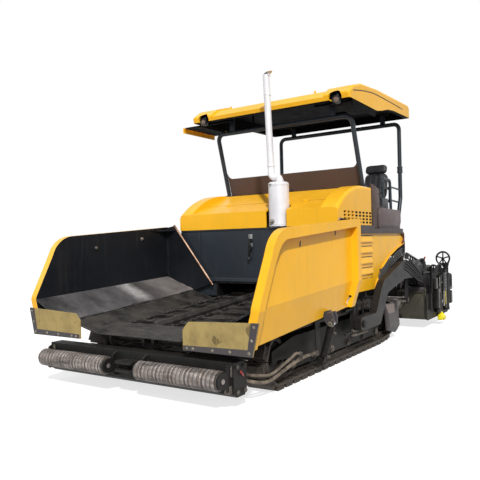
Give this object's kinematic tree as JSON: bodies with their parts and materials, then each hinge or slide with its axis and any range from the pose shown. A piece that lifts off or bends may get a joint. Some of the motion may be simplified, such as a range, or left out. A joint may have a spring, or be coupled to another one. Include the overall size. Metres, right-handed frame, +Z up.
{
  "type": "tracked asphalt paver",
  "caption": "Tracked road paver: hopper with folding wings, slat conveyors through the body, operator platform under a roof, augers and a raised floating screed.",
  "frame": {"origin": "on the ground, under the middle of the machine's length, on its plane of symmetry", "axes": "+X towards the machine's left as its driver faces forward, +Y towards the screed at the rear, +Z up"},
  "size_m": [3.12, 6.4, 3.6535],
  "materials": {
    "body_yellow": "gloss, lightly soiled",
    "frame_grey": "satin, dusty",
    "chassis_dark": "satin, dusty",
    "track_steel": "worn and dusty",
    "worn_steel": "worn bright",
    "hopper_steel": "worn satin",
    "belt_rubber": "dusty",
    "exhaust_steel": "satin",
    "rod_chrome": "polished",
    "seat_black": "grained",
    "screen_brown": "satin, dusty",
    "roller_rust": "rust-toned, worn",
    "engine_iron": "rough"
  },
  "bodies": {
    "chassis": {"auger_carrier": "chassis_dark", "canopy_frames": "frame_grey", "canopy_roof": "body_yellow", "conveyors": "worn_steel", "cylinder_brackets": "chassis_dark", "dashboard": "frame_grey", "engine_block": "engine_iron", "engine_hood": "body_yellow", "exhaust_pipe": "exhaust_steel", "frame_bearers": "chassis_dark", "frame_plates": "chassis_dark", "hopper_floor": "worn_steel", "hopper_rear_wall": "hopper_steel", "main_frame": "chassis_dark", "muffler": "exhaust_steel", "platform": "frame_grey", "push_beam": "frame_grey", "rear_bulkhead": "chassis_dark", "screen_panel": "screen_brown", "seats": "seat_black", "side_consoles": "frame_grey", "side_panels": "body_yellow", "sprocket_guards": "frame_grey", "tow_points": "chassis_dark", "track_frames": "chassis_dark", "track_left": "track_steel", "track_right": "track_steel"},
    "push_roller_left": {"push_roller_left": "roller_rust"},
    "wing_left": {"wing_left": "body_yellow", "apron_left": "belt_rubber"},
    "wing_barrel_left": {"wing_cylinder_left": "chassis_dark"},
    "wing_rod_left": {"wing_rod_left": "rod_chrome"},
    "extension_left": {"screed_extension_left": "chassis_dark", "end_gate_left": "chassis_dark"},
    "auger_left": {"auger_left": "worn_steel"},
    "louvre_left": {"louvre_door_left": "body_yellow"},
    "awning_left": {"awning_left": "body_yellow"},
    "lift_barrel_left": {"lift_cylinder_left": "chassis_dark"},
    "lift_rod_left": {"lift_rod_left": "rod_chrome"},
    "push_roller_right": {"push_roller_right": "roller_rust"},
    "wing_right": {"wing_right": "body_yellow", "apron_right": "belt_rubber"},
    "wing_barrel_right": {"wing_cylinder_right": "chassis_dark"},
    "wing_rod_right": {"wing_rod_right": "rod_chrome"},
    "extension_right": {"screed_extension_right": "chassis_dark", "end_gate_right": "chassis_dark"},
    "auger_right": {"auger_right": "worn_steel"},
    "louvre_right": {"louvre_door_right": "body_yellow"},
    "awning_right": {"awning_right": "body_yellow"},
    "lift_barrel_right": {"lift_cylinder_right": "chassis_dark"},
    "lift_rod_right": {"lift_rod_right": "rod_chrome"},
    "screed_frame": {"tow_arms": "chassis_dark", "screed": "chassis_dark", "screed_walkway": "frame_grey"}
  },
  "joints": [
    {"name": "push_roller_left_turn", "type": "hinge", "parent": "chassis", "child": "push_roller_left", "pos_m": [0, -3.11, 0.285], "axis": [1, 0, 0], "continuous": true},
    {"name": "wing_left_fold", "type": "hinge", "parent": "chassis", "child": "wing_left", "pos_m": [0.98, -1.995, 0.7148], "axis": [0, -0.997, -0.0776], "range_deg": [0, 40]},
    {"name": "wing_left_cylinder_turn", "type": "hinge", "parent": "chassis", "child": "wing_barrel_left", "pos_m": [1.3, -1.46163, 0.14955], "axis": [0, -0.997, -0.0776], "range_deg": [0, 6.7]},
    {"name": "wing_left_rod_slide", "type": "slide", "parent": "wing_barrel_left", "child": "wing_rod_left", "axis": [0.3229, -0.0734, 0.9436], "range_m": [0, 0.3355]},
    {"name": "push_roller_right_turn", "type": "hinge", "parent": "chassis", "child": "push_roller_right", "pos_m": [0, -3.11, 0.285], "axis": [1, 0, 0], "continuous": true},
    {"name": "wing_right_fold", "type": "hinge", "parent": "chassis", "child": "wing_right", "pos_m": [-0.98, -1.995, 0.7148], "axis": [0, 0.997, 0.0776], "range_deg": [0, 40]},
    {"name": "wing_right_cylinder_turn", "type": "hinge", "parent": "chassis", "child": "wing_barrel_right", "pos_m": [-1.3, -1.46163, 0.14955], "axis": [0, 0.997, 0.0776], "range_deg": [0, 6.7]},
    {"name": "wing_right_rod_slide", "type": "slide", "parent": "wing_barrel_right", "child": "wing_rod_right", "axis": [-0.3229, -0.0734, 0.9436], "range_m": [0, 0.3355]},
    {"name": "screed_lift", "type": "hinge", "parent": "chassis", "child": "screed_frame", "pos_m": [0, -0.545, 0.425], "axis": [1, 0, 0], "range_deg": [-2.1, 2]},
    {"name": "screed_left_cylinder_turn", "type": "hinge", "parent": "chassis", "child": "lift_barrel_left", "pos_m": [0.88, 1.415, 1.33], "axis": [1, 0, 0], "range_deg": [-3.8, 3.62]},
    {"name": "screed_left_rod_slide", "type": "slide", "parent": "lift_barrel_left", "child": "lift_rod_left", "axis": [0, 0.696, -0.7181], "range_m": [-0.0721, 0.0757]},
    {"name": "screed_extension_left_slide", "type": "slide", "parent": "screed_frame", "child": "extension_left", "axis": [1, 0, 0], "range_m": [0, 1]},
    {"name": "auger_left_turn", "type": "hinge", "parent": "chassis", "child": "auger_left", "pos_m": [0, 1.55, 0.5], "axis": [1, 0, 0], "continuous": true},
    {"name": "louvre_door_left_swing", "type": "hinge", "parent": "chassis", "child": "louvre_left", "pos_m": [1.245, -0.339, 1.225], "axis": [0, 0, -1], "range_deg": [0, 100]},
    {"name": "awning_left_slide", "type": "slide", "parent": "chassis", "child": "awning_left", "axis": [1, 0, 0], "range_m": [0, 0.28]},
    {"name": "screed_right_cylinder_turn", "type": "hinge", "parent": "chassis", "child": "lift_barrel_right", "pos_m": [-0.88, 1.415, 1.33], "axis": [1, 0, 0], "range_deg": [-3.8, 3.62]},
    {"name": "screed_right_rod_slide", "type": "slide", "parent": "lift_barrel_right", "child": "lift_rod_right", "axis": [0, 0.696, -0.7181], "range_m": [-0.0721, 0.0757]},
    {"name": "screed_extension_right_slide", "type": "slide", "parent": "screed_frame", "child": "extension_right", "axis": [-1, 0, 0], "range_m": [0, 1]},
    {"name": "auger_right_turn", "type": "hinge", "parent": "chassis", "child": "auger_right", "pos_m": [0, 1.55, 0.5], "axis": [1, 0, 0], "continuous": true},
    {"name": "louvre_door_right_swing", "type": "hinge", "parent": "chassis", "child": "louvre_right", "pos_m": [-1.245, -0.339, 1.225], "axis": [0, 0, 1], "range_deg": [0, 100]},
    {"name": "awning_right_slide", "type": "slide", "parent": "chassis", "child": "awning_right", "axis": [-1, 0, 0], "range_m": [-0.28, 0]}
  ],
  "couplings": [
    {"joint": "wing_left_cylinder_turn", "follows": "wing_left_fold", "ratio": 0.1662},
    {"joint": "wing_left_rod_slide", "follows": "wing_left_fold", "m_per_rad": 0.47986},
    {"joint": "wing_right_cylinder_turn", "follows": "wing_right_fold", "ratio": 0.1662},
    {"joint": "wing_right_rod_slide", "follows": "wing_right_fold", "m_per_rad": 0.47986},
    {"joint": "screed_left_cylinder_turn", "follows": "screed_lift", "ratio": 1.7862},
    {"joint": "screed_left_rod_slide", "follows": "screed_lift", "m_per_rad": -2.0375},
    {"joint": "screed_right_cylinder_turn", "follows": "screed_lift", "ratio": 1.7862},
    {"joint": "screed_right_rod_slide", "follows": "screed_lift", "m_per_rad": -2.0375}
  ]
}
